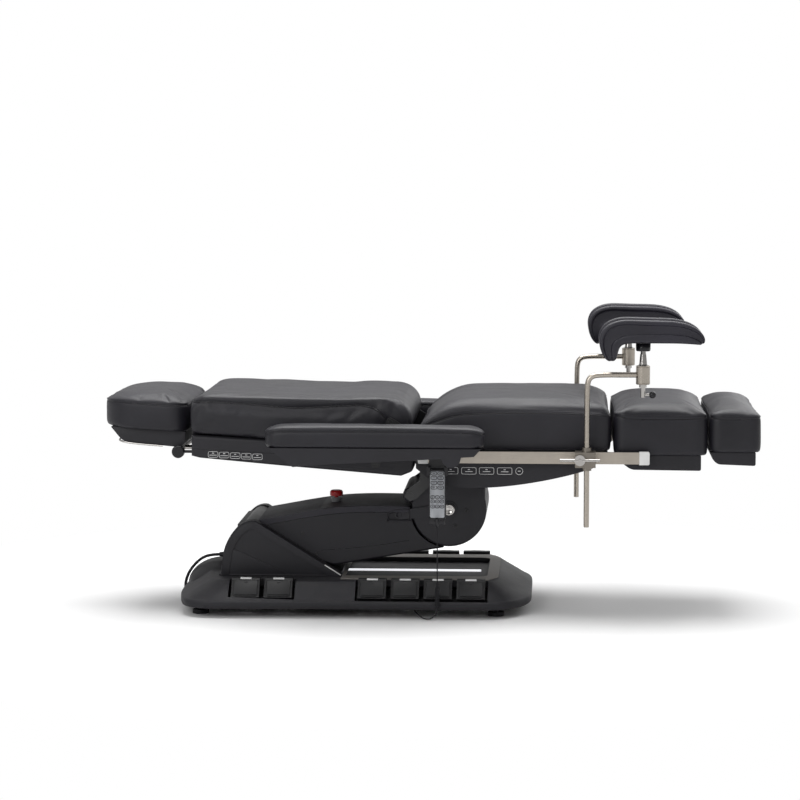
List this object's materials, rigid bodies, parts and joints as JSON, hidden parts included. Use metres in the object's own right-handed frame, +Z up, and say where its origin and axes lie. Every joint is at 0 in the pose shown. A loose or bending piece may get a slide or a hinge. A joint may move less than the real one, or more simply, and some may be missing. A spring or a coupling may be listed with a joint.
{
  "type": "electric examination table",
  "caption": "Low gynaecology and urology examination table: lifting arm on a pedal base, raising back, folding leg section, armrests, knee supports and a corded handset.",
  "frame": {"origin": "on the floor, under the middle of the table's length and width", "axes": "+X from the head end to the foot end, +Z up, the handset side at -Y"},
  "size_m": [1.954, 1.0109, 0.891],
  "materials": {
    "leather": "satin grained",
    "cover": "fine textured",
    "trim": "satin taupe",
    "frame": "satin",
    "nickel": "brushed champagne",
    "chrome": "polished",
    "red": "gloss",
    "grey": "satin",
    "white": "gloss",
    "black": "satin",
    "rubber": "matt",
    "silver": "satin silver"
  },
  "bodies": {
    "base": {"base_frame": "frame", "base_cover": "cover", "tray_trim": "trim", "levelling_feet": "rubber", "rear_housing": "cover", "cable_gland": "rubber", "power_cord": "rubber", "power_coil": "rubber", "power_plug": "rubber", "handset_cord": "rubber"},
    "arm": {"lift_arm": "frame", "arm_cover": "cover", "arm_side_plates": "chrome", "stop_collar": "grey"},
    "stop": {"stop_button": "red"},
    "link": {"level_link": "frame"},
    "head": {"lift_head": "cover"},
    "seat": {"seat_frame": "nickel", "rail_end_caps": "white", "seat_shroud": "cover", "seat_cushion": "leather", "handset_holder": "black"},
    "handset": {"handset": "silver"},
    "back": {"back_frame": "frame", "back_shroud": "cover", "back_cushion": "leather"},
    "headrest_slide": {"head_slide": "chrome"},
    "headrest": {"head_shroud": "cover", "head_cushion": "leather"},
    "tilt_knob": {"head_knob": "black"},
    "leg": {"leg_shroud": "cover", "leg_cushion": "leather"},
    "foot": {"foot_shroud": "cover", "foot_cushion": "leather"},
    "armrest_near": {"armrest_shell_near": "cover", "armrest_pad_near": "leather"},
    "armrest_far": {"armrest_shell_far": "cover", "armrest_pad_far": "leather"},
    "clamp_near": {"rail_clamp_near": "nickel"},
    "screw_near": {"clamp_screw_near": "chrome"},
    "post_near": {"support_post_near": "nickel"},
    "stem_near": {"pad_stem_near": "chrome"},
    "pad_near": {"knee_pad_near": "black"},
    "clamp_far": {"rail_clamp_far": "nickel"},
    "screw_far": {"clamp_screw_far": "chrome"},
    "post_far": {"support_post_far": "nickel"},
    "stem_far": {"pad_stem_far": "chrome"},
    "pad_far": {"knee_pad_far": "black"},
    "pedal_near_left_1_body": {"pedal_near_left_1": "cover"},
    "pedal_near_left_2_body": {"pedal_near_left_2": "cover"},
    "pedal_near_right_1_body": {"pedal_near_right_1": "cover"},
    "pedal_near_right_2_body": {"pedal_near_right_2": "cover"},
    "pedal_near_right_3_body": {"pedal_near_right_3": "cover"},
    "pedal_near_right_4_body": {"pedal_near_right_4": "cover"},
    "pedal_far_left_1_body": {"pedal_far_left_1": "cover"},
    "pedal_far_left_2_body": {"pedal_far_left_2": "cover"},
    "pedal_far_right_1_body": {"pedal_far_right_1": "cover"},
    "pedal_far_right_2_body": {"pedal_far_right_2": "cover"},
    "pedal_far_right_3_body": {"pedal_far_right_3": "cover"},
    "pedal_far_right_4_body": {"pedal_far_right_4": "cover"}
  },
  "joints": [
    {"name": "lift_hinge", "type": "hinge", "parent": "base", "child": "arm", "pos_m": [-0.5416, 0, 0.2382], "axis": [0, -1, 0], "range_deg": [0, 42.6]},
    {"name": "head_level", "type": "hinge", "parent": "arm", "child": "head", "pos_m": [0.055, 0, 0.302], "axis": [0, -1, 0], "range_deg": [-42.6, 0]},
    {"name": "link_pivot", "type": "hinge", "parent": "base", "child": "link", "pos_m": [-0.5416, 0, 0.1632], "axis": [0, -1, 0], "range_deg": [0, 42.6]},
    {"name": "seat_tilt", "type": "hinge", "parent": "head", "child": "seat", "pos_m": [-0.062, 0, 0.345], "axis": [0, -1, 0], "range_deg": [0, 12]},
    {"name": "back_hinge", "type": "hinge", "parent": "seat", "child": "back", "pos_m": [-0.112, 0, 0.582], "axis": [0, 1, 0], "range_deg": [0, 75]},
    {"name": "head_extension", "type": "slide", "parent": "back", "child": "headrest_slide", "axis": [-1, 0, 0], "range_m": [0, 0.1]},
    {"name": "head_tilt", "type": "hinge", "parent": "headrest_slide", "child": "headrest", "pos_m": [-0.752, 0, 0.48], "axis": [0, 1, 0], "range_deg": [-30, 0]},
    {"name": "tilt_knob_turn", "type": "hinge", "parent": "headrest_slide", "child": "tilt_knob", "pos_m": [-0.752, -0.225, 0.48], "axis": [0, 1, 0], "range_deg": [0, 90]},
    {"name": "leg_hinge", "type": "hinge", "parent": "seat", "child": "leg", "pos_m": [0.54, 0, 0.473], "axis": [0, 1, 0], "range_deg": [0, 80]},
    {"name": "foot_hinge", "type": "hinge", "parent": "leg", "child": "foot", "pos_m": [0.823, 0, 0.474], "axis": [0, 1, 0], "range_deg": [0, 60]},
    {"name": "armrest_near_hinge", "type": "hinge", "parent": "seat", "child": "armrest_near", "pos_m": [0.073, -0.41, 0.49], "axis": [0, 1, 0], "range_deg": [0, 90]},
    {"name": "armrest_far_hinge", "type": "hinge", "parent": "seat", "child": "armrest_far", "pos_m": [0.073, 0.41, 0.49], "axis": [0, 1, 0], "range_deg": [0, 90]},
    {"name": "post_near_height", "type": "slide", "parent": "clamp_near", "child": "post_near", "axis": [0, 0, 1], "range_m": [-0.04, 0.1]},
    {"name": "clamp_near_slide", "type": "slide", "parent": "seat", "child": "clamp_near", "axis": [1, 0, 0], "range_m": [-0.2, 0.1]},
    {"name": "pad_near_tilt", "type": "hinge", "parent": "stem_near", "child": "pad_near", "pos_m": [0.627, -0.348, 0.803], "axis": [0, 1, 0], "range_deg": [-15, 15]},
    {"name": "stem_near_swivel", "type": "hinge", "parent": "post_near", "child": "stem_near", "pos_m": [0.627, -0.348, 0.727], "axis": [0, 0, 1], "range_deg": [-40, 40]},
    {"name": "clamp_near_screw", "type": "hinge", "parent": "clamp_near", "child": "screw_near", "pos_m": [0.445, -0.37, 0.479], "axis": [0, -1, 0], "range_deg": [0, 180]},
    {"name": "post_far_height", "type": "slide", "parent": "clamp_far", "child": "post_far", "axis": [0, 0, 1], "range_m": [-0.04, 0.1]},
    {"name": "clamp_far_slide", "type": "slide", "parent": "seat", "child": "clamp_far", "axis": [1, 0, 0], "range_m": [-0.2, 0.1]},
    {"name": "pad_far_tilt", "type": "hinge", "parent": "stem_far", "child": "pad_far", "pos_m": [0.602, 0.348, 0.803], "axis": [0, 1, 0], "range_deg": [-15, 15]},
    {"name": "stem_far_swivel", "type": "hinge", "parent": "post_far", "child": "stem_far", "pos_m": [0.602, 0.348, 0.727], "axis": [0, 0, 1], "range_deg": [-40, 40]},
    {"name": "clamp_far_screw", "type": "hinge", "parent": "clamp_far", "child": "screw_far", "pos_m": [0.42, 0.37, 0.479], "axis": [0, 1, 0], "range_deg": [0, 180]},
    {"name": "handset_lift", "type": "slide", "parent": "seat", "child": "handset", "axis": [0, 0, 1], "range_m": [0, 0.12]},
    {"name": "stop_press", "type": "slide", "parent": "arm", "child": "stop", "axis": [0, 0, -1], "range_m": [0, 0.005], "stiffness_N_per_m": 1500},
    {"name": "pedal_near_left_1_press", "type": "slide", "parent": "base", "child": "pedal_near_left_1_body", "axis": [0, 0, -1], "range_m": [0, 0.005], "stiffness_N_per_m": 3000},
    {"name": "pedal_near_left_2_press", "type": "slide", "parent": "base", "child": "pedal_near_left_2_body", "axis": [0, 0, -1], "range_m": [0, 0.005], "stiffness_N_per_m": 3000},
    {"name": "pedal_near_right_1_press", "type": "slide", "parent": "base", "child": "pedal_near_right_1_body", "axis": [0, 0, -1], "range_m": [0, 0.005], "stiffness_N_per_m": 3000},
    {"name": "pedal_near_right_2_press", "type": "slide", "parent": "base", "child": "pedal_near_right_2_body", "axis": [0, 0, -1], "range_m": [0, 0.005], "stiffness_N_per_m": 3000},
    {"name": "pedal_near_right_3_press", "type": "slide", "parent": "base", "child": "pedal_near_right_3_body", "axis": [0, 0, -1], "range_m": [0, 0.005], "stiffness_N_per_m": 3000},
    {"name": "pedal_near_right_4_press", "type": "slide", "parent": "base", "child": "pedal_near_right_4_body", "axis": [0, 0, -1], "range_m": [0, 0.005], "stiffness_N_per_m": 3000},
    {"name": "pedal_far_left_1_press", "type": "slide", "parent": "base", "child": "pedal_far_left_1_body", "axis": [0, 0, -1], "range_m": [0, 0.005], "stiffness_N_per_m": 3000},
    {"name": "pedal_far_left_2_press", "type": "slide", "parent": "base", "child": "pedal_far_left_2_body", "axis": [0, 0, -1], "range_m": [0, 0.005], "stiffness_N_per_m": 3000},
    {"name": "pedal_far_right_1_press", "type": "slide", "parent": "base", "child": "pedal_far_right_1_body", "axis": [0, 0, -1], "range_m": [0, 0.005], "stiffness_N_per_m": 3000},
    {"name": "pedal_far_right_2_press", "type": "slide", "parent": "base", "child": "pedal_far_right_2_body", "axis": [0, 0, -1], "range_m": [0, 0.005], "stiffness_N_per_m": 3000},
    {"name": "pedal_far_right_3_press", "type": "slide", "parent": "base", "child": "pedal_far_right_3_body", "axis": [0, 0, -1], "range_m": [0, 0.005], "stiffness_N_per_m": 3000},
    {"name": "pedal_far_right_4_press", "type": "slide", "parent": "base", "child": "pedal_far_right_4_body", "axis": [0, 0, -1], "range_m": [0, 0.005], "stiffness_N_per_m": 3000}
  ],
  "couplings": [
    {"joint": "head_level", "follows": "lift_hinge", "ratio": -1},
    {"joint": "link_pivot", "follows": "lift_hinge", "ratio": 1}
  ]
}
